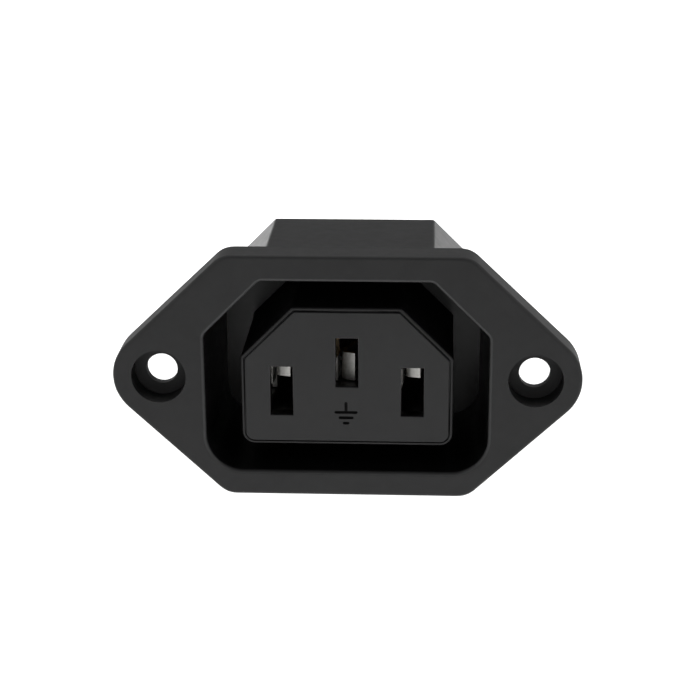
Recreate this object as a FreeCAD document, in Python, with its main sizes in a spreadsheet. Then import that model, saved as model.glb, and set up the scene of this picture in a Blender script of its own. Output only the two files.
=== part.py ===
"""Panel-mount appliance outlet: flanged housing, slotted contact carrier, three contacts, rear cover.

Millimetres. +Z is up, the socket faces -Y, and the origin is midway between the two screw holes
on the flange's rear face, which lies against the panel.
"""
import FreeCAD, Part
import math
import os
import re
import Sketcher

# Driving dimensions
DIMENSIONS = {
    # Flange and its two counterbored screw holes
    "flange_width": 49.8,
    "flange_height": 26.9,
    "flange_flat_width": 26.0,
    "flange_thickness": 3.65,
    "flange_corner_radius": 2.7,
    "screw_hole_diameter": 3.35,
    "screw_head_diameter": 5.85,
    "screw_head_depth": 2.7,
    # Recess that takes the plug's shroud, and the shell around it
    "recess_width": 30.2,
    "recess_height": 21.4,
    "recess_chamfer": 6.0,
    "recess_corner_radius": 4.0,
    "recess_bend_radius": 1.0,
    "recess_depth": 16.2,
    "shell_wall": 1.1,
    "shell_bend_radius": 0.5,
    "floor_wall": 1.4,
    "draft_angle": 2.0,
    # Contact carrier: its slotted face, the groove and lip round that, and its foot
    "face_width": 21.8,
    "face_height": 14.6,
    "face_chamfer": 5.3,
    "face_corner_radius": 0.9,
    "face_bend_radius": 0.2,
    "face_drop": 0.3,
    "face_setback": 1.2,
    "face_wall": 1.6,
    "groove_width": 0.14,
    "groove_depth": 0.2,
    "lip_width": 0.45,
    "lip_setback": 0.15,
    "lip_radius": 0.25,
    "carrier_flange": 1.2,
    # Slots for the plug's three flat pins
    "slot_width": 2.4,
    "slot_height": 5.5,
    "slot_spacing": 14.0,
    "line_slot_drop": 1.9,
    "earth_slot_rise": 1.36,
    "cavity_width": 4.2,
    # Folded strip contacts
    "strip_thickness": 0.5,
    "strip_height": 5.4,
    "tab_leaf_height": 2.6,
    "line_leaf_height": 1.75,
    "earth_leaf_height": 3.1,
    "leaf_spread": 2.5,
    "apex_offset": 1.15,
    "apex_setback": 1.9,
    "apex_flare": 0.2,
    "fold_offset": 0.6,
    "fold_reach": 0.86,
    "line_fold_setback": 0.35,
    "earth_fold_setback": 0.55,
    "contact_length": 9.4,
    "bridge_length": 3.0,
    "jog_length": 1.6,
    "bend_radius": 0.65,
    "apex_radius": 0.8,
    "line_fold_radius": 0.3,
    "earth_fold_radius": 0.55,
    "front_play": 0.4,
    "tab_width": 4.8,
    "tab_length": 8.0,
    "tab_hole_diameter": 1.8,
    "tab_hole_setback": 3.6,
    "tab_tip_chamfer": 1.0,
    # Rear cover and its catches
    "cover_thickness": 2.4,
    "catch_width": 5.0,
    "catch_thickness": 1.0,
    "catch_setback": 0.4,
    "catch_reach": 0.8,
    # Clearances between pieces
    "carrier_gap": 0.1,
    "cover_gap": 0.1,
    "contact_gap": 0.1,
    "tab_gap": 0.1,
    "catch_gap": 0.15,
    # Moulded edges
    "edge_radius": 0.35,
    "mouth_radius": 0.4,
    "rear_edge_chamfer": 0.15,
    "face_edge_radius": 0.12,
}

# Dimensions that follow from the driving ones
DERIVED = {
    # The screws sit midway between the recess and the flange's tips, which are rounded about them
    "screw_spacing": "(flange_width + recess_width) / 2",
    "flange_tip_radius": "(flange_width - screw_spacing) / 2",
    # The flange's slanted edges run from the ends of its flat edges, tangent to the tips
    "flange_flat": "flange_flat_width / 2",
    "tip_run": "screw_spacing / 2 - flange_flat",
    "tip_distance": "hypot(tip_run; flange_height / 2)",
    "flange_slant": "atan2(flange_height / 2; tip_run) - asin(flange_tip_radius / tip_distance)",
    "flange_apex": "flange_flat + flange_height / 2 / tan(flange_slant)",
    # Places along Y, from the flange's rear face
    "front_plane": "-flange_thickness",
    "face_plane": "front_plane + face_setback",
    "lip_plane": "face_plane + lip_setback",
    "floor_plane": "front_plane + recess_depth",
    "carrier_seat": "floor_plane + floor_wall",
    "cover_seat": "carrier_seat + carrier_flange",
    "body_depth": "cover_seat + cover_thickness",
    "cavity_front": "face_plane + face_wall",
    "contact_front": "cavity_front + front_play",
    "contact_rear": "contact_front + contact_length",
    "tab_end": "body_depth + tab_length",
    # Sizes of what fits together
    "cavity_height": "strip_height + 2 * contact_gap",
    "slot_offset": "slot_spacing / 2",
    "leaf_offset": "(leaf_spread + strip_thickness) / 2",
    "leaf_front": "contact_front + strip_thickness / 2",
}

doc = FreeCAD.newDocument("appliance_outlet")
sheet = doc.addObject("Spreadsheet::Sheet", "Dims")


def fill_sheet():
    """Write every dimension into the sheet under its own alias."""
    cells = [(name, str(number)) for name, number in DIMENSIONS.items()]
    cells += [(name, "=" + formula) for name, formula in DERIVED.items()]
    for row, (name, text) in enumerate(cells, start=1):
        sheet.set(f"A{row}", name)
        sheet.setAlias(f"B{row}", name)
    for row, (name, text) in enumerate(cells, start=1):
        sheet.set(f"B{row}", text)
    doc.recompute()


def bound(formula):
    """The formula with each dimension's name pointing at its cell in the sheet."""
    names = DIMENSIONS.keys() | DERIVED.keys()
    return re.sub(r"[a-z_]+", lambda word: "Dims." + word[0] if word[0] in names else word[0], formula)


def value(formula):
    """The formula's present value."""
    return float(sheet.evalExpression(bound(formula)))


# Sketches

def sketch_on(body, name, role, offset="0"):
    """Sketch on one of the body's origin planes, moved along the plane's normal."""
    sketch = body.newObject("Sketcher::SketchObject", name)
    plane = next(item for item in body.Origin.OriginFeatures if item.Role == role)
    sketch.AttachmentSupport = (plane, "")
    sketch.MapMode = "FlatFace"
    sketch.setExpression("AttachmentOffset.Base.z", bound(offset))
    return sketch


def facing_sketch(body, name, depth):
    """Sketch in a plane at a depth along Y, drawn in X and Z. Its normal is -Y."""
    return sketch_on(body, name, "XZ_Plane", f"-({depth})")


def pin_point(sketch, line, end, corner):
    """Hold one end of a line at a corner given by two formulas."""
    for kind, formula in zip(("DistanceX", "DistanceY"), corner):
        index = sketch.addConstraint(Sketcher.Constraint(kind, -1, 1, line, end, value(formula)))
        sketch.setExpression(f"Constraints[{index}]", bound(formula))


def place(corner):
    """A corner's present place in its sketch."""
    return FreeCAD.Vector(value(corner[0]), value(corner[1]), 0)


def draw_lines(sketch, corners, closed=True, construction=False):
    """Straight lines from corner to corner, each corner held by its two formulas."""
    points = [place(corner) for corner in corners]
    ends = points[1:] + points[:1] if closed else points[1:]
    lines = [
        sketch.addGeometry(Part.LineSegment(start, end), construction)
        for start, end in zip(points, ends)
    ]
    for line, following in zip(lines, lines[1:]):
        sketch.addConstraint(Sketcher.Constraint("Coincident", line, 2, following, 1))
    if closed:
        sketch.addConstraint(Sketcher.Constraint("Coincident", lines[-1], 2, lines[0], 1))
    else:
        pin_point(sketch, lines[-1], 2, corners[-1])
    for line, corner in zip(lines, corners):
        pin_point(sketch, line, 1, corner)
    return lines


def round_bend(before, bend, after, radius):
    """Where a rounded bend starts, its middle and its end, and whether it turns left."""
    back = (before - bend).normalize()
    ahead = (after - bend).normalize()
    half_angle = back.getAngle(ahead) / 2
    reach = radius / math.tan(half_angle)
    inset = radius / math.sin(half_angle) - radius
    middle = bend + (back + ahead).normalize() * inset
    return bend + back * reach, middle, bend + ahead * reach, ahead.cross(back).z > 0


def draw_rounded(sketch, corners, radii, closed=True):
    """Lines from corner to corner, rounded at each corner that has a radius.

    The sharp lines stay as construction lines that hold the straight runs in place.
    """
    guides = draw_lines(sketch, corners, closed, construction=True)
    points = [place(corner) for corner in corners]
    count = len(points)
    bends = {}
    for index, radius in enumerate(radii):
        if radius is not None:
            following = points[(index + 1) % count]
            bends[index] = round_bend(points[index - 1], points[index], following, value(radius))
    runs = []
    for index, guide in enumerate(guides):
        following = (index + 1) % count
        start = bends[index][2] if index in bends else points[index]
        end = bends[following][0] if following in bends else points[following]
        run = sketch.addGeometry(Part.LineSegment(start, end), False)
        for end_number, corner in ((1, index), (2, following)):
            if corner in bends:
                hold = Sketcher.Constraint("PointOnObject", run, end_number, guide)
            else:
                hold = Sketcher.Constraint("Coincident", run, end_number, guide, end_number)
            sketch.addConstraint(hold)
        runs.append(run)
    for index, (enter, middle, leave, left) in bends.items():
        # An arc in a sketch always runs anticlockwise
        ends = (enter, middle, leave) if left else (leave, middle, enter)
        arc = sketch.addGeometry(Part.Arc(*ends), False)
        first, last = (1, 2) if left else (2, 1)
        sketch.addConstraint(Sketcher.Constraint("Tangent", runs[index - 1], 2, arc, first))
        sketch.addConstraint(Sketcher.Constraint("Tangent", arc, last, runs[index], 1))
        number = sketch.addConstraint(Sketcher.Constraint("Radius", arc, value(radii[index])))
        sketch.setExpression(f"Constraints[{number}]", bound(radii[index]))
    return sketch


def draw_sharp(sketch, corners):
    """Closed outline with sharp corners."""
    draw_lines(sketch, corners)
    return sketch


def draw_circle(sketch, centre, diameter):
    """Circle with its centre and diameter held by formulas."""
    middle = FreeCAD.Vector(value(centre[0]), value(centre[1]), 0)
    circle = sketch.addGeometry(Part.Circle(middle, FreeCAD.Vector(0, 0, 1), value(diameter) / 2), False)
    pin_point(sketch, circle, 3, centre)
    index = sketch.addConstraint(Sketcher.Constraint("Diameter", circle, value(diameter)))
    sketch.setExpression(f"Constraints[{index}]", bound(diameter))
    return sketch


def box_corners(low, high):
    """Corners of a rectangle from its lowest and highest corner."""
    return [low, (high[0], low[1]), high, (low[0], high[1])]


def centred_box(centre, width, height):
    """Corners of a rectangle about a centre."""
    low = (f"{centre[0]} - ({width}) / 2", f"{centre[1]} - ({height}) / 2")
    high = (f"{centre[0]} + ({width}) / 2", f"{centre[1]} + ({height}) / 2")
    return box_corners(low, high)


def cut_corner_outline(part, grow="0", centre="0", cut_grow="2 - sqrt(2)"):
    """Rectangle with both top corners cut at 45 degrees, offset outwards by grow.

    The cuts grow by cut_grow times that. The given share makes the offset even all round.
    """
    half = f"({part}_width / 2 + {grow})"
    top = f"({centre} + {part}_height / 2 + {grow})"
    low = f"({centre} - {part}_height / 2 - ({grow}))"
    cut = f"({part}_chamfer + ({grow}) * ({cut_grow}))"
    return [
        (f"-{half}", low),
        (half, low),
        (half, f"{top} - {cut}"),
        (f"{half} - {cut}", top),
        (f"{cut} - {half}", top),
        (f"-{half}", f"{top} - {cut}"),
    ]


def recess_outline(grow="0"):
    """Corners and radii of the recess, offset outwards by grow."""
    low = f"recess_corner_radius + ({grow})"
    bend = f"recess_bend_radius + ({grow})"
    return cut_corner_outline("recess", grow), [low] * 2 + [bend] * 4


def shell_outline():
    """Corners and radii of the shell round the recess, with larger cut corners and crisper bends."""
    corners = cut_corner_outline("recess", "shell_wall", cut_grow="1")
    return corners, ["recess_corner_radius + shell_wall"] * 2 + ["shell_bend_radius"] * 4


def face_outline(grow="0"):
    """Corners and radii of the carrier's face, offset outwards by grow."""
    low = f"face_corner_radius + ({grow})"
    bend = f"face_bend_radius + ({grow})"
    return cut_corner_outline("face", grow, "-face_drop"), [low] * 2 + [bend] * 4


# Features

def recompute(feature):
    doc.recompute()
    if feature.Shape.isNull():
        raise RuntimeError(f"{feature.Name} has no shape")
    return feature


def pad(body, sketch, length, backwards=False, centred=False, taper="0"):
    """Grow the sketch along its normal, or against it, wider by the taper angle."""
    feature = body.newObject("PartDesign::Pad", sketch.Name + "_pad")
    feature.Profile = sketch
    feature.setExpression("Length", bound(length))
    feature.setExpression("TaperAngle", bound(taper))
    feature.Reversed = backwards
    feature.Midplane = centred
    return recompute(feature)


def pocket(body, sketch, length=None, along=False, centred=False, taper="0"):
    """Cut the sketch against its normal, or along it; with no length it goes right through."""
    before = body.Tip.Shape.Volume
    feature = body.newObject("PartDesign::Pocket", sketch.Name + "_pocket")
    feature.Profile = sketch
    if length:
        feature.setExpression("Length", bound(length))
    else:
        feature.Type = "ThroughAll"
    feature.setExpression("TaperAngle", bound(taper))
    feature.Reversed = along
    feature.Midplane = centred
    recompute(feature)
    if feature.Shape.Volume >= before:
        raise RuntimeError(f"{feature.Name} cuts nothing")
    return feature


def pipe(body, section, path):
    """Sweep a strip's section along its path."""
    doc.recompute()
    feature = body.newObject("PartDesign::AdditivePipe", path.Name + "_pipe")
    feature.Profile = section
    feature.Spine = (path, [f"Edge{number}" for number in range(1, len(path.Shape.Edges) + 1)])
    return recompute(feature)


def dress(body, kind, name, edges, size_property, size):
    """Fillet or chamfer the named edges of the body's last feature."""
    if not edges:
        raise RuntimeError(f"{name} finds no edges")
    base = body.Tip
    feature = body.newObject("PartDesign::" + kind, name)
    feature.Base = (base, edges)
    feature.setExpression(size_property, bound(size))
    return recompute(feature)


def fillet(body, name, edges, radius):
    return dress(body, "Fillet", name, edges, "Radius", radius)


def chamfer(body, name, edges, size):
    return dress(body, "Chamfer", name, edges, "Size", size)


# Choosing edges

NEAR = 1e-4


def edges_where(body, test):
    """Names of the edges of the body's last feature that pass the test."""
    return [f"Edge{index}" for index, edge in enumerate(body.Tip.Shape.Edges, start=1) if test(edge)]


def is_along(edge, axis):
    """A straight edge parallel to an axis, given as x, y or z."""
    if not isinstance(edge.Curve, Part.Line):
        return False
    return abs(abs(getattr(edge.Curve.Direction, axis)) - 1) < NEAR


def is_at_depth(edge, depth):
    """An edge that lies in a plane across Y."""
    return abs(edge.BoundBox.YMin - depth) < NEAR and abs(edge.BoundBox.YMax - depth) < NEAR


def edges_in_window(body, depth, half_width, half_height, inside):
    """Edges across Y at a depth, inside or outside a centred window in X and Z."""
    plane, wide, high = value(depth), value(half_width), value(half_height)

    def fits(edge):
        if not is_at_depth(edge, plane):
            return False
        box = edge.BoundBox
        within = max(abs(box.XMin), abs(box.XMax)) < wide and max(abs(box.ZMin), abs(box.ZMax)) < high
        return within == inside

    return edges_where(body, fits)


def not_closed(body, edges):
    """The edges that aren't whole circles."""
    return [name for name in edges if not body.Tip.Shape.getElement(name).isClosed()]


def outer_rim_edges(body, depth):
    """Edges round the outside of the ring-shaped face that lies at a depth."""
    plane = value(depth)
    rim = []
    for face in body.Tip.Shape.Faces:
        box = face.BoundBox
        flat = abs(box.YMin - plane) < NEAR and abs(box.YMax - plane) < NEAR
        if flat and len(face.Wires) == 2:
            rim += face.OuterWire.Edges
    return edges_where(body, lambda edge: any(edge.isSame(other) for other in rim))


# Housing

def add_shell(body):
    """Rear box that passes through the panel."""
    sketch = draw_rounded(facing_sketch(body, "shell", "0"), *shell_outline())
    pad(body, sketch, "body_depth", backwards=True)


def add_flange(body):
    """Long six-sided plate with rounded ends."""
    corners = [
        ("flange_apex", "0"),
        ("flange_flat", "flange_height / 2"),
        ("-flange_flat", "flange_height / 2"),
        ("-flange_apex", "0"),
        ("-flange_flat", "-flange_height / 2"),
        ("flange_flat", "-flange_height / 2"),
    ]
    radii = ["flange_tip_radius", "flange_corner_radius", "flange_corner_radius"] * 2
    pad(body, draw_rounded(facing_sketch(body, "flange", "0"), corners, radii), "flange_thickness")


def hollow_shell(body):
    """Recess cut from the front, and a seat for the carrier's foot and the cover cut from the rear."""
    recess = draw_rounded(facing_sketch(body, "recess", "front_plane"), *recess_outline())
    pocket(body, recess, "recess_depth", taper="-draft_angle")
    seat = draw_rounded(facing_sketch(body, "rear_seat", "body_depth"), *recess_outline())
    pocket(body, seat, "cover_thickness + carrier_flange", along=True)


def open_floor(body):
    """Opening in the recess floor that the carrier's block passes through."""
    outline = face_outline("lip_width + carrier_gap")
    pocket(body, draw_rounded(facing_sketch(body, "block_opening", "floor_plane"), *outline), "floor_wall")


def add_screw_holes(body):
    """Two through holes, counterbored so that the screw heads lie below the front."""
    sketch = facing_sketch(body, "screw_holes", "front_plane")
    for side in (-1, 1):
        draw_circle(sketch, (f"{side} * screw_spacing / 2", "0"), "screw_hole_diameter")
    doc.recompute()
    hole = body.newObject("PartDesign::Hole", "counterbored_holes")
    hole.Profile = sketch
    doc.recompute()
    hole.ThreadType = "None"
    hole.DepthType = "ThroughAll"
    hole.HoleCutType = "Counterbore"
    hole.HoleCutCustomValues = True
    hole.setExpression("Diameter", bound("screw_hole_diameter"))
    hole.setExpression("HoleCutDiameter", bound("screw_head_diameter"))
    hole.setExpression("HoleCutDepth", bound("screw_head_depth"))
    recompute(hole)


def catch_span():
    """Front and rear of a cover catch along Y."""
    front = "cover_seat + catch_setback"
    return front, f"{front} + catch_thickness"


def add_catch_windows(body):
    """Openings in both side walls for the cover's catches."""
    front, rear = catch_span()
    half = "(catch_width / 2 + catch_gap)"
    corners = box_corners((f"{front} - catch_gap", f"-{half}"), (f"{rear} + catch_gap", half))
    sketch = draw_sharp(sketch_on(body, "catch_windows", "YZ_Plane"), corners)
    pocket(body, sketch, centred=True)


def soften_housing(body):
    """Small radii on the front edges and the recess mouth, and a chamfer on the rear edge."""
    mouth = ("recess_width / 2 + shell_wall", "recess_height / 2 + shell_wall")
    outside = not_closed(body, edges_in_window(body, "front_plane", *mouth, inside=False))
    fillet(body, "front_edges", outside, "edge_radius")
    inside = edges_in_window(body, "front_plane", *mouth, inside=True)
    fillet(body, "mouth_edges", inside, "mouth_radius")
    chamfer(body, "rear_edges", outer_rim_edges(body, "body_depth"), "rear_edge_chamfer")


def make_housing():
    body = doc.addObject("PartDesign::Body", "housing")
    add_shell(body)
    add_flange(body)
    hollow_shell(body)
    open_floor(body)
    add_screw_holes(body)
    add_catch_windows(body)
    soften_housing(body)
    return body


# Contact carrier

def slot_centres():
    """Places of the line, neutral and earth slots, in X and Z."""
    return {
        "line_contact": ("-slot_offset", "-line_slot_drop"),
        "neutral_contact": ("slot_offset", "-line_slot_drop"),
        "earth_contact": ("0", "earth_slot_rise"),
    }


def make_carrier():
    """Block on a foot, with a fine groove and a lip round its face.

    The face has three slots, each with a cavity behind it that is open to the rear.
    """
    body = doc.addObject("PartDesign::Body", "contact_carrier")
    foot = draw_rounded(facing_sketch(body, "carrier_foot", "carrier_seat"), *recess_outline("-cover_gap"))
    pad(body, foot, "carrier_flange", backwards=True)
    block = draw_rounded(facing_sketch(body, "block", "carrier_seat"), *face_outline("lip_width"))
    pad(body, block, "carrier_seat - lip_plane")
    face_pad = draw_rounded(facing_sketch(body, "face_pad", "lip_plane"), *face_outline())
    pad(body, face_pad, "lip_setback")
    groove = draw_rounded(facing_sketch(body, "groove", "lip_plane"), *face_outline("groove_width"))
    pocket(body, draw_rounded(groove, *face_outline()), "groove_depth")
    fillet(body, "lip_edges", outer_rim_edges(body, "lip_plane"), "lip_radius")
    cavities = facing_sketch(body, "cavities", "cover_seat")
    slots = facing_sketch(body, "slots", "face_plane")
    for centre in slot_centres().values():
        draw_sharp(cavities, centred_box(centre, "cavity_width", "cavity_height"))
        draw_sharp(slots, centred_box(centre, "slot_width", "slot_height"))
    pocket(body, cavities, "cover_seat - cavity_front", along=True)
    pocket(body, slots, "face_wall")
    face = value("face_plane")
    fillet(body, "face_edges", edges_where(body, lambda edge: is_at_depth(edge, face)), "face_edge_radius")
    return body


# Contacts

def add_strip(body, name, path, radii, level):
    """Upright strip along a path in X and Y, from the path's rear end forwards."""
    line = draw_rounded(sketch_on(body, name + "_path", "XY_Plane", level), path, radii, closed=False)
    across, rear = path[0]
    section = facing_sketch(body, name + "_section", rear)
    draw_sharp(section, centred_box((across, level), "strip_thickness", "strip_height"))
    pipe(body, section, line)


def make_contact(name, kind, centre, up):
    """Folded strip: a bowed leaf that runs into the rear tab, a bridge, and a spring leaf with a folded end.

    The kind, line or earth, says whose spring leaf it has. The leaves hang from the bridge where up is 1
    and stand on it where up is -1.
    """
    across, level = centre
    body = doc.addObject("PartDesign::Body", name)
    left, right = f"{across} - leaf_offset", f"{across} + leaf_offset"
    jog_front = "contact_rear + bend_radius"
    root = "contact_rear - bridge_length - bend_radius"

    tab_leaf = [
        (across, "tab_end"),
        (across, f"{jog_front} + jog_length"),
        (left, jog_front),
        (left, root),
        (f"{across} - apex_offset", "contact_front + apex_setback"),
        (f"{across} - apex_offset - apex_flare", "contact_front"),
    ]
    bends = ["bend_radius", "bend_radius", "bend_radius", "apex_radius"]
    add_strip(body, name + "_tab_leaf", tab_leaf, [None, *bends, None], level)

    bridge_base = "strip_height / 2 - strip_thickness" if up > 0 else "-strip_height / 2"
    half = "strip_thickness / 2"
    low = (f"{left} - {half}", "contact_rear - bridge_length")
    high = (f"{right} + {half}", "contact_rear")
    bridge = sketch_on(body, name + "_bridge", "XY_Plane", f"{level} + {bridge_base}")
    pad(body, draw_sharp(bridge, box_corners(low, high)), "strip_thickness")

    free_leaf = [
        (right, "contact_rear"),
        (right, root),
        (f"{across} - fold_offset", f"leaf_front + {kind}_fold_setback"),
        (f"{across} + fold_reach", "leaf_front"),
    ]
    bends = ["bend_radius", f"{kind}_fold_radius"]
    add_strip(body, name + "_free_leaf", free_leaf, [None, *bends, None], level)

    middle = f"{across} - (apex_offset + fold_offset) / 2"
    trim_leaf(body, name + "_tab_leaf_trim", (middle, level), up, "tab_leaf_height", rightwards=False)
    trim_leaf(body, name + "_free_leaf_trim", (middle, level), up, f"{kind}_leaf_height", rightwards=True)
    finish_tab(body, name, centre)
    return body


def trim_leaf(body, name, centre, up, height, rightwards):
    """Cut the front stretch of the leaf to one side of the middle to a height, counted from the bridge."""
    middle, level = centre
    edges = [f"{level} + {up} * (strip_height / 2 - {height})", f"{level} - {up} * strip_height"]
    low, high = edges[::-up]
    corners = box_corners(("cavity_front", low), ("contact_rear - bridge_length", high))
    pocket(body, draw_sharp(sketch_on(body, name, "YZ_Plane", middle), corners), along=rightwards)


def finish_tab(body, name, centre):
    """Narrow the tab behind its shoulders, bevel its tip and pierce it."""
    across, level = centre
    shoulders = sketch_on(body, name + "_shoulders", "YZ_Plane", across)
    for side in (-1, 1):
        edges = [f"{level} + {side} * tab_width / 2", f"{level} + {side} * strip_height"]
        low, high = edges[::side]
        draw_sharp(shoulders, box_corners(("cover_seat", low), ("tab_end + strip_height", high)))
    pocket(body, shoulders, centred=True)
    end = value("tab_end")
    corners = edges_where(body, lambda edge: is_along(edge, "x") and abs(edge.CenterOfMass.y - end) < NEAR)
    chamfer(body, name + "_tip", corners, "tab_tip_chamfer")
    hole_centre = ("tab_end - tab_hole_setback", level)
    hole = draw_circle(sketch_on(body, name + "_hole", "YZ_Plane", across), hole_centre, "tab_hole_diameter")
    pocket(body, hole, centred=True)


# Rear cover

def make_cover():
    """Plate with three tab slots and a catch at each side."""
    body = doc.addObject("PartDesign::Body", "rear_cover")
    plate = draw_rounded(facing_sketch(body, "plate", "cover_seat"), *recess_outline("-cover_gap"))
    pad(body, plate, "cover_thickness", backwards=True)
    front, rear = catch_span()
    edge = "(recess_width / 2 - cover_gap)"
    catches = sketch_on(body, "catches", "XY_Plane")
    for side in (-1, 1):
        wedge = [
            (f"{side} * {edge}", front),
            (f"{side} * ({edge} + catch_reach)", rear),
            (f"{side} * {edge}", rear),
        ]
        draw_sharp(catches, wedge)
    pad(body, catches, "catch_width", centred=True)
    slots = facing_sketch(body, "tab_slots", "cover_seat")
    for centre in slot_centres().values():
        slot = centred_box(centre, "strip_thickness + 2 * tab_gap", "tab_width + 2 * tab_gap")
        draw_sharp(slots, slot)
    pocket(body, slots)
    return body


# Build, check and write

def check(parts):
    """Stop if any object failed or any sub-part isn't one sound solid."""
    for item in doc.Objects:
        if {"Invalid", "Error"} & set(item.State):
            raise RuntimeError(f"{item.Name} failed: {item.State}")
    for part in parts:
        shape = part.Shape
        if shape.isNull() or not shape.isValid() or len(shape.Solids) != 1:
            raise RuntimeError(f"{part.Label} is not one valid solid")


def main():
    fill_sheet()
    parts = [make_housing(), make_carrier()]
    places = slot_centres()
    for name in ("line_contact", "neutral_contact"):
        parts.append(make_contact(name, "line", places[name], 1))
    parts.append(make_contact("earth_contact", "earth", places["earth_contact"], -1))
    parts.append(make_cover())
    doc.recompute()
    check(parts)
    os.makedirs("parts", exist_ok=True)
    for part in parts:
        part.Shape.exportStep(f"parts/{part.Label}.step")
        print(part.Label, round(part.Shape.Volume, 2), part.Shape.BoundBox)


main()
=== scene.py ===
"""Looks of the panel-mount outlet: finishes, an engraved earth sign, floor, lights and camera."""

import functools
import math
from typing import NamedTuple

import bmesh
import bpy
from mathutils import Matrix, Vector


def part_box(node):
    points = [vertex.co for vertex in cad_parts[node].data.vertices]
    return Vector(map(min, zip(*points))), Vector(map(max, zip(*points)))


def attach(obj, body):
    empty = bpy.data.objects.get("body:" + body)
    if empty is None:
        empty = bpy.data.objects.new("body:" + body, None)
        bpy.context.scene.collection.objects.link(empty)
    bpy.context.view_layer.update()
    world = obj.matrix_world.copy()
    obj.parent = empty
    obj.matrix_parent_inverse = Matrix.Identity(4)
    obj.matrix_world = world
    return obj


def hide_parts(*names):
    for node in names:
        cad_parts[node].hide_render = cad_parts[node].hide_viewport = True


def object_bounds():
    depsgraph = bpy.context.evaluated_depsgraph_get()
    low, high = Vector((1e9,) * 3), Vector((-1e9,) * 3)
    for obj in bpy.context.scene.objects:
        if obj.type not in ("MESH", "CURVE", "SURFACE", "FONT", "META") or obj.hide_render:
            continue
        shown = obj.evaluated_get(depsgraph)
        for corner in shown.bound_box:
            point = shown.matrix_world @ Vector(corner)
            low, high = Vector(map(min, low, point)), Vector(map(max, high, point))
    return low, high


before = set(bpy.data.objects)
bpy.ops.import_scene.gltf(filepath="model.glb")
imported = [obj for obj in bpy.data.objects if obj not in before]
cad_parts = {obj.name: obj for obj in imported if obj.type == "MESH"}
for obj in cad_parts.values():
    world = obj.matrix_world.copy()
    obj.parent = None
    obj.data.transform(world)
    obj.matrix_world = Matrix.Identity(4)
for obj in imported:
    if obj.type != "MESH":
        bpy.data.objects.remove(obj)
CAD_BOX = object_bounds()
scene = bpy.context.scene

MM = 0.001

# Plastic finishes: a linear colour and a roughness each. The rim's lighter colour is a painted
# highlight; the darker polished and sign colours are painted shade
TEXTURED_FINISH = ((0.013, 0.013, 0.0134), 0.65)
SHELL_FINISH = ((0.012, 0.012, 0.0124), 0.34)
# Lighter colour on the recess mouth's rounded edge is a painted highlight; its roughness is real
RIM_PAINTED_HIGHLIGHT = ((0.03, 0.03, 0.0306), 0.5)
# Darker colour deep in the recess, in the slots and on the counterbores' walls is painted shade; the
# lower roughness is real gloss
POLISHED_PAINTED_SHADE = ((0.003, 0.003, 0.0031), 0.3)
FACE_FINISH = ((0.011, 0.011, 0.0114), 0.5)
COVER_FINISH = ((0.011, 0.011, 0.0114), 0.4)
# Darker colour on the floor and walls of the engraved sign is painted shade
SIGN_PAINTED_SHADE = ((0.004, 0.004, 0.004), 0.8)
PLASTIC_IOR = 1.5
PLASTIC_SPECULAR = 0.5
SIGN_SPECULAR = 0.2

# Unevenness of the plastic: sizes in millimetres, a share of the colour and a step of the roughness
GRAIN_SIZE = 0.16
GRAIN_HEIGHT = 0.004
GRAIN_DETAIL = 1.0
MOTTLE_SIZE = 5.0
MOTTLE_SHARE = 0.14
GLOSS_SIZE = 1.1
GLOSS_STEP = 0.025

# Noise textures: the two values that most of the noise lies between, and its detail
NOISE_LOW = 0.3
NOISE_HIGH = 0.7
NOISE_DETAIL = 3.0

# Where the plastic's finish, its painted highlight and its painted shade change, in millimetres: depths
# count from the front of each moulding
RIM_START = 0.004
RIM_END = 0.03
POLISH_AND_SHADE_START = 0.15
POLISH_AND_SHADE_END = 0.6
COUNTERBORE_WALL = 2.62

# The shell's finish fades in on both sides of the flange's rear face, in millimetres
SHELL_FADE = 0.1

# Outlines of the polished zones with painted shade and of the rim's painted highlight, a little larger
# than the recess mouth and the counterbores
RECESS_HALF_WIDTH = 15.65
RECESS_HALF_HEIGHT = 11.25
RECESS_CUT_CORNER = 20.6
RECESS_ROUND_CORNER = 25.3
COUNTERBORE_OFFSET = 20.0
COUNTERBORE_REACH = 2.98

# Plated strip: linear colours with ranges of shade, a range of roughness, and marks in millimetres
PLATING_COLOUR = (0.63, 0.62, 0.59)
PLATING_SHADES = (0.88, 1.08)
PLATING_ROUGHNESS = (0.32, 0.46)
SHEARED_COLOUR = (0.56, 0.4, 0.2)
SHEARED_SHADES = (0.85, 1.1)
SHEARED_FROM = 0.75
SHEARED_TO = 0.9
ROLLING_SIZE = 0.35
ROLLING_STRETCH = 14
ROLLING_HEIGHT = 0.002

# Earth sign on the front of the contact carrier, in millimetres
SIGN_MIDDLE = -0.1
SIGN_TOP = -3.05
SIGN_HEIGHT = 2.6
SIGN_STROKE = 0.32
SIGN_DEPTH = 0.25
SIGN_BARS = (2.5, 1.6, 0.7)
SIGN_BAR_STEP = 0.62
SIGN_CAP_STEPS = 8

# Cutting and shading of the sign: millimetres and radians
CUTTER_OVERLAP = 0.3
WELD_DISTANCE = 1e-4
SHARP_ANGLE = math.radians(30)

# Camera: millimetres and degrees
CAMERA_TARGET = (0.415, -3.62, 3.27)
CAMERA_DISTANCE = 178.67
CAMERA_AZIMUTH = 2.81
CAMERA_ELEVATION = 19.5
CAMERA_ROLL = -0.275
CAMERA_LENS = 87.43
CAMERA_SENSOR = 36
CAMERA_CLIP_START = 10

# Surroundings: the floor is in metres and its patches in millimetres
WORLD_RADIANCE = 0.11
FLOOR_SIZE = 6.0
FLOOR_DROP = 0.075
FLOOR_COLOUR = (0.86, 0.86, 0.86)
FLOOR_ROUGHNESS = 0.9
FLOOR_SPECULAR = 0.1
FLOOR_PATCH = 120.0
FLOOR_DETAIL = 2.0
FLOOR_SHADE = 0.99


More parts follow.
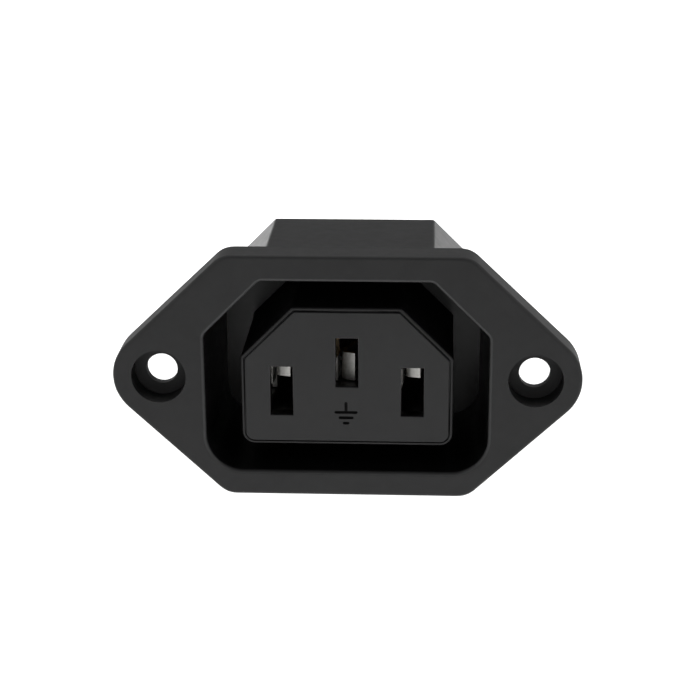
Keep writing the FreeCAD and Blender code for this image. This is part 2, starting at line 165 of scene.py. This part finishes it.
class Softbox(NamedTuple):
    """Rectangular light, in metres, that shows in reflections if it is mirrored."""

    name: str
    place: tuple
    size: tuple
    radiance: float
    aim: tuple = (0.0, 0.0, 0.0)
    mirrored: bool = True


SOFTBOXES = (
    Softbox(
        "overhead_panel",
        place=(0.0, 0.82, 0.27),
        size=(2.8, 1.2),
        radiance=2.0,
        aim=(0.0, 0.82, 0.0),
        mirrored=False,
    ),
    *[
        Softbox(name, place=(side * 0.9, -0.15, 0.38), size=(0.8, 0.8), radiance=1.3)
        for side, name in ((-1, "left_softbox"), (1, "right_softbox"))
    ],
    Softbox(
        "floor_light",
        place=(0.0, -0.06, -0.03),
        size=(0.5, 0.1),
        radiance=1.05,
        aim=(0.0, -0.06, -1.0),
    ),
    Softbox(
        "high_softbox",
        place=(0.0, 0.6, 1.0),
        size=(2.8, 1.2),
        radiance=1.05,
        aim=(0.0, 0.6, 0.0),
    ),
    Softbox("front_softbox", place=(0.0, -1.2, 0.25), size=(1.0, 0.4), radiance=1.4),
    Softbox("rear_strip", place=(0.0, 1.5, 0.03), size=(3.0, 0.16), radiance=1.5),
)


# Shader nodes

def add_node(tree, kind, settings=None):
    """New shader node with the named inputs set."""
    node = tree.nodes.new(kind)
    for name, setting in (settings or {}).items():
        node.inputs[name].default_value = setting
    return node


def new_material(name):
    """Empty principled material, with its tree and shader."""
    material = bpy.data.materials.new(name)
    material.use_nodes = True
    tree = material.node_tree
    return material, tree, tree.nodes["Principled BSDF"]


def coordinates(tree):
    """Places on the object, in metres."""
    return add_node(tree, "ShaderNodeTexCoord").outputs["Object"]


def noise(tree, place, size, detail=NOISE_DETAIL):
    """Noise with features of a size in millimetres."""
    texture = add_node(tree, "ShaderNodeTexNoise", {"Scale": 1 / (size * MM), "Detail": detail})
    tree.links.new(place, texture.inputs["Vector"])
    return texture.outputs["Fac"]


def spread(tree, factor, low, high):
    """Noise spread over the range between two numbers."""
    settings = {"From Min": NOISE_LOW, "From Max": NOISE_HIGH, "To Min": low, "To Max": high}
    node = add_node(tree, "ShaderNodeMapRange", settings)
    tree.links.new(factor, node.inputs["Value"])
    return node.outputs["Result"]


def ramp(tree, factor, start, end):
    """Two colours blended by noise, as a colour."""
    node = add_node(tree, "ShaderNodeValToRGB")
    stops = zip(node.color_ramp.elements, (NOISE_LOW, NOISE_HIGH), (start, end))
    for stop, position, colour in stops:
        stop.position = position
        stop.color = (*colour, 1)
    tree.links.new(factor, node.inputs["Fac"])
    return node.outputs["Color"]


def bump(tree, shader, height, distance):
    """Relief of a height in millimetres on the shader's normal."""
    node = add_node(tree, "ShaderNodeBump", {"Strength": 1.0, "Distance": distance * MM})
    tree.links.new(height, node.inputs["Height"])
    tree.links.new(node.outputs["Normal"], shader.inputs["Normal"])


def split(tree, vector):
    """The three parts of a vector."""
    node = add_node(tree, "ShaderNodeSeparateXYZ")
    tree.links.new(vector, node.inputs["Vector"])
    return node.outputs["X"], node.outputs["Y"], node.outputs["Z"]


def maths(tree, operation, *terms):
    """Result of an operation on sockets and numbers."""
    node = add_node(tree, "ShaderNodeMath")
    node.operation = operation
    for socket, term in zip(node.inputs, terms):
        if isinstance(term, bpy.types.NodeSocket):
            tree.links.new(term, socket)
        else:
            socket.default_value = term
    return node.outputs["Value"]


def product(tree, *masks):
    """Mask that is 1 where every given one is 1."""
    return functools.reduce(functools.partial(maths, tree, "MULTIPLY"), masks)


def fade(tree, number, start, end):
    """Mask that rises from 0 to 1 while a number goes from start to end."""
    node = add_node(tree, "ShaderNodeMapRange", {"From Min": start, "From Max": end})
    tree.links.new(number, node.inputs["Value"])
    return node.outputs["Result"]


def mix(tree, kind, factor, first, second):
    """Blend of two colours, of kind RGBA, or of two numbers, of kind VALUE."""
    node = add_node(tree, "ShaderNodeMix")
    node.data_type = "RGBA" if kind == "RGBA" else "FLOAT"
    tree.links.new(factor, node.inputs["Factor"])
    sockets = [socket for socket in node.inputs if socket.type == kind][-2:]
    for source, socket in zip((first, second), sockets):
        tree.links.new(source, socket)
    return next(socket for socket in node.outputs if socket.type == kind)


def scaled(colour, factor):
    """Colour made darker or lighter."""
    return tuple(channel * factor for channel in colour)


# Finishes

def moulded_plastic(name, finish, zones=None, specular=PLASTIC_SPECULAR):
    """Black moulding with fine grain, faint mottling, patches of gloss, and zones of other finishes,
    some of which are painted highlight or painted shade.
    """
    material, tree, shader = new_material(name)
    place = coordinates(tree)
    mottle = noise(tree, place, MOTTLE_SIZE)
    patches = noise(tree, place, GLOSS_SIZE)

    def surface(colour, roughness):
        tone = ramp(tree, mottle, scaled(colour, 1 - MOTTLE_SHARE), scaled(colour, 1 + MOTTLE_SHARE))
        return tone, spread(tree, patches, roughness - GLOSS_STEP, roughness + GLOSS_STEP)

    tone, gloss = surface(*finish)
    for mask, zone_finish in zones(tree, place) if zones else ():
        zone_tone, zone_gloss = surface(*zone_finish)
        tone = mix(tree, "RGBA", mask, tone, zone_tone)
        gloss = mix(tree, "VALUE", mask, gloss, zone_gloss)
    shader.inputs["IOR"].default_value = PLASTIC_IOR
    shader.inputs["Specular IOR Level"].default_value = specular
    tree.links.new(tone, shader.inputs["Base Color"])
    tree.links.new(gloss, shader.inputs["Roughness"])
    bump(tree, shader, noise(tree, place, GRAIN_SIZE, GRAIN_DETAIL), GRAIN_HEIGHT)
    return material


def depth_fade(tree, along, front, start, end):
    """Mask that rises between two depths in millimetres behind a moulding's front."""
    return fade(tree, along, front + start * MM, front + end * MM)


def recess_outline(tree, across, up):
    """1 within the outline of the recess mouth."""
    width = maths(tree, "ABSOLUTE", across)
    height = maths(tree, "ABSOLUTE", up)
    limits = (
        (width, RECESS_HALF_WIDTH),
        (height, RECESS_HALF_HEIGHT),
        (maths(tree, "ADD", width, up), RECESS_CUT_CORNER),
        (maths(tree, "ADD", width, height), RECESS_ROUND_CORNER),
    )
    return product(tree, *[maths(tree, "LESS_THAN", reach, limit * MM) for reach, limit in limits])


def counterbore_outline(tree, across, up):
    """1 within the outlines of the two counterbores."""
    aside = maths(tree, "SUBTRACT", maths(tree, "ABSOLUTE", across), COUNTERBORE_OFFSET * MM)
    squares = [maths(tree, "MULTIPLY", term, term) for term in (aside, up)]
    radius = maths(tree, "SQRT", maths(tree, "ADD", *squares))
    return maths(tree, "LESS_THAN", radius, COUNTERBORE_REACH * MM)


def housing_zones(tree, place):
    """Zones that aren't textured: the shell, the recess's rim with a painted highlight, the recess
    deeper in with painted shade, and the counterbores' walls with painted shade.
    """
    across, along, up = split(tree, place)
    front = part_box("housing")[0].y
    edge = depth_fade(tree, along, front, RIM_START, RIM_END)
    deep = depth_fade(tree, along, front, POLISH_AND_SHADE_START, POLISH_AND_SHADE_END)
    recess = recess_outline(tree, across, up)
    before_floor = maths(tree, "LESS_THAN", along, front + COUNTERBORE_WALL * MM)
    wall = product(tree, counterbore_outline(tree, across, up), before_floor, deep)
    return (
        (fade(tree, along, -SHELL_FADE * MM, SHELL_FADE * MM), SHELL_FINISH),
        # The rim's lighter colour is a painted highlight
        (product(tree, recess, edge), RIM_PAINTED_HIGHLIGHT),
        # Deeper in the recess and on the counterbores' walls the darker colour is painted shade
        (product(tree, recess, deep), POLISHED_PAINTED_SHADE),
        (wall, POLISHED_PAINTED_SHADE),
    )


def carrier_zones(tree, place):
    """The contact carrier is polished, and darkened with painted shade, behind its face, on its sides
    and in its slots.
    """
    along = split(tree, place)[1]
    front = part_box("contact_carrier")[0].y
    return ((depth_fade(tree, along, front, POLISH_AND_SHADE_START, POLISH_AND_SHADE_END), POLISHED_PAINTED_SHADE),)


def edge_mask(tree):
    """1 on the strip's upper and lower edges, where it was sheared, and 0 on its faces."""
    normal = add_node(tree, "ShaderNodeNewGeometry").outputs["Normal"]
    return fade(tree, maths(tree, "ABSOLUTE", split(tree, normal)[2]), SHEARED_FROM, SHEARED_TO)


def tin_plating(name):
    """Rolled strip with bright plating on its faces and bare metal on its sheared edges."""
    material, tree, shader = new_material(name)
    shader.inputs["Metallic"].default_value = 1.0
    stretch = add_node(tree, "ShaderNodeMapping", {"Scale": (1, 1 / ROLLING_STRETCH, 1)})
    tree.links.new(coordinates(tree), stretch.inputs["Vector"])
    rolling = noise(tree, stretch.outputs["Vector"], ROLLING_SIZE)
    plating, sheared = (
        ramp(tree, rolling, *[scaled(colour, shade) for shade in shades])
        for colour, shades in ((PLATING_COLOUR, PLATING_SHADES), (SHEARED_COLOUR, SHEARED_SHADES))
    )
    colour = mix(tree, "RGBA", edge_mask(tree), plating, sheared)
    tree.links.new(colour, shader.inputs["Base Color"])
    tree.links.new(spread(tree, rolling, *PLATING_ROUGHNESS), shader.inputs["Roughness"])
    bump(tree, shader, rolling, ROLLING_HEIGHT)
    return material


def floor_paint(name):
    """Matte pale floor with a hardly visible unevenness."""
    material, tree, shader = new_material(name)
    shader.inputs["Roughness"].default_value = FLOOR_ROUGHNESS
    shader.inputs["Specular IOR Level"].default_value = FLOOR_SPECULAR
    uneven = noise(tree, coordinates(tree), FLOOR_PATCH, FLOOR_DETAIL)
    tone = ramp(tree, uneven, scaled(FLOOR_COLOUR, FLOOR_SHADE), FLOOR_COLOUR)
    tree.links.new(tone, shader.inputs["Base Color"])
    return material


def finish_node(name, material):
    """Give a CAD node its finish."""
    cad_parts[name].material_slots[0].material = material


# Earth sign

def capsule(centre, length, upright=False):
    """Outline of a stroke with round ends, as points across and up, in millimetres."""
    radius = SIGN_STROKE / 2
    reach = length / 2 - radius
    points = []
    for end in (1, -1):
        for step in range(SIGN_CAP_STEPS + 1):
            angle = math.pi * (step / SIGN_CAP_STEPS - 0.5)
            along = end * (reach + radius * math.cos(angle))
            aside = end * radius * math.sin(angle)
            across, up = (-aside, along) if upright else (along, aside)
            points.append((centre[0] + across, centre[1] + up))
    return points


def sign_strokes():
    """Outlines of the earth sign: three bars that grow shorter, and the stem over them."""
    first_bar = SIGN_TOP - SIGN_HEIGHT + SIGN_STROKE / 2 + SIGN_BAR_STEP * (len(SIGN_BARS) - 1)
    strokes = [
        capsule((SIGN_MIDDLE, first_bar - SIGN_BAR_STEP * number), length)
        for number, length in enumerate(SIGN_BARS)
    ]
    stem = SIGN_TOP - first_bar + SIGN_STROKE / 2
    strokes.append(capsule((SIGN_MIDDLE, SIGN_TOP - stem / 2), stem, upright=True))
    return strokes


def stroke_cutter(outlines, face, material):
    """Solid strokes that reach from in front of a face to the depth of the sign."""
    mesh = bpy.data.meshes.new("sign_cutter")
    shape = bmesh.new()
    depth = (SIGN_DEPTH + CUTTER_OVERLAP) * MM
    for outline in outlines:
        front = [shape.verts.new((x * MM, face - CUTTER_OVERLAP * MM, z * MM)) for x, z in outline]
        pushed = bmesh.ops.extrude_face_region(shape, geom=[shape.faces.new(front)])
        moved = [item for item in pushed["geom"] if isinstance(item, bmesh.types.BMVert)]
        bmesh.ops.translate(shape, verts=moved, vec=(0, depth, 0))
    bmesh.ops.recalc_face_normals(shape, faces=shape.faces)
    shape.to_mesh(mesh)
    shape.free()
    mesh.materials.append(material)
    cutter = bpy.data.objects.new("sign_cutter", mesh)
    scene.collection.objects.link(cutter)
    return cutter


def welded_copy(node, name):
    """Copy of a CAD node as one closed mesh."""
    mesh = bpy.data.meshes.new(name)
    shape = bmesh.new()
    shape.from_mesh(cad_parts[node].data)
    bmesh.ops.remove_doubles(shape, verts=shape.verts, dist=WELD_DISTANCE * MM)
    shape.to_mesh(mesh)
    shape.free()
    return bpy.data.objects.new(name, mesh)


def keep_result(piece):
    """Replace a piece's mesh by what its modifiers make of it."""
    graph = bpy.context.evaluated_depsgraph_get()
    mesh = bpy.data.meshes.new_from_object(piece.evaluated_get(graph))
    piece.modifiers.clear()
    piece.data = mesh


def cut_strokes(piece, outlines, face, material):
    """Cut strokes into a face of a piece, with a material of their own that paints shade in them."""
    cutter = stroke_cutter(outlines, face, material)
    cut = piece.modifiers.new("sign", "BOOLEAN")
    cut.operation = "DIFFERENCE"
    cut.solver = "EXACT"
    cut.material_mode = "TRANSFER"
    cut.object = cutter
    keep_result(piece)
    bpy.data.objects.remove(cutter)


def smooth_shading(piece):
    """Shade flat faces flat and round edges round."""
    mesh = piece.data
    mesh.polygons.foreach_set("use_smooth", [True] * len(mesh.polygons))
    mesh.set_sharp_from_angle(angle=SHARP_ANGLE)
    flats = piece.modifiers.new("flats", "WEIGHTED_NORMAL")
    flats.keep_sharp = True
    keep_result(piece)


def add_engraved_carrier(plastic, sign):
    """The contact carrier with the earth sign cut into its front, its cut painted darker as painted
    shade.
    """
    block = welded_copy("contact_carrier", "carrier_block")
    block.data.materials.append(plastic)
    scene.collection.objects.link(block)
    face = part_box("contact_carrier")[0].y
    *bars, stem = sign_strokes()
    for strokes in (bars, [stem]):
        cut_strokes(block, strokes, face, sign)
    smooth_shading(block)
    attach(block, "root")
    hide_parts("contact_carrier")


# Studio

def add_floor():
    """Plain pale floor some way below the part."""
    mesh = bpy.data.meshes.new("floor")
    half = FLOOR_SIZE / 2
    level = CAD_BOX[0].z - FLOOR_DROP
    corners = [(-half, -half, level), (half, -half, level), (half, half, level), (-half, half, level)]
    mesh.from_pydata(corners, [], [(0, 1, 2, 3)])
    mesh.materials.append(floor_paint("floor_paint"))
    floor = bpy.data.objects.new("floor", mesh)
    scene.collection.objects.link(floor)


def add_softbox(softbox):
    """Rectangular light that faces the point it is aimed at."""
    light = bpy.data.lights.new(softbox.name, "AREA")
    light.shape = "RECTANGLE"
    light.size, light.size_y = softbox.size
    light.energy = softbox.radiance * math.pi * math.prod(softbox.size)
    lamp = bpy.data.objects.new(softbox.name, light)
    lamp.location = softbox.place
    ahead = Vector(softbox.aim) - Vector(softbox.place)
    lamp.rotation_euler = ahead.to_track_quat("-Z", "Y").to_euler()
    lamp.visible_camera = False
    lamp.visible_glossy = softbox.mirrored
    scene.collection.objects.link(lamp)


def add_world():
    """Dim even light from all round, shown without a film curve."""
    world = bpy.data.worlds.new("studio")
    world.use_nodes = True
    background = world.node_tree.nodes["Background"]
    background.inputs["Color"].default_value = (*[WORLD_RADIANCE] * 3, 1)
    scene.world = world
    scene.view_settings.view_transform = "Standard"


def add_camera():
    """Camera at the photograph's viewing angle."""
    lens = bpy.data.cameras.new("camera")
    lens.lens = CAMERA_LENS
    lens.sensor_width = CAMERA_SENSOR
    lens.clip_start = CAMERA_CLIP_START * MM
    camera = bpy.data.objects.new("camera", lens)
    scene.collection.objects.link(camera)
    target = Matrix.Translation(Vector(CAMERA_TARGET) * MM)
    turn = Matrix.Rotation(math.radians(CAMERA_AZIMUTH), 4, "Z")
    tilt = Matrix.Rotation(math.radians(90 - CAMERA_ELEVATION), 4, "X")
    roll = Matrix.Rotation(math.radians(CAMERA_ROLL), 4, "Z")
    back = Matrix.Translation((0, 0, CAMERA_DISTANCE * MM))
    camera.matrix_world = target @ turn @ tilt @ roll @ back
    scene.camera = camera


def dress_part():
    """Give every node its finish, and the contact carrier its sign."""
    housing_plastic = moulded_plastic("housing_finish", TEXTURED_FINISH, housing_zones)
    carrier_plastic = moulded_plastic("carrier_finish", FACE_FINISH, carrier_zones)
    cover_plastic = moulded_plastic("cover_finish", COVER_FINISH)
    # The sign's darker colour is painted shade in its grooves
    sign_shade_material = moulded_plastic("sign_painted_shade", SIGN_PAINTED_SHADE, specular=SIGN_SPECULAR)
    plating = tin_plating("contact_finish")
    finish_node("housing", housing_plastic)
    finish_node("rear_cover", cover_plastic)
    for contact in ("line_contact", "neutral_contact", "earth_contact"):
        finish_node(contact, plating)
    add_engraved_carrier(carrier_plastic, sign_shade_material)


dress_part()
add_floor()
for softbox in SOFTBOXES:
    add_softbox(softbox)
add_world()
add_camera()
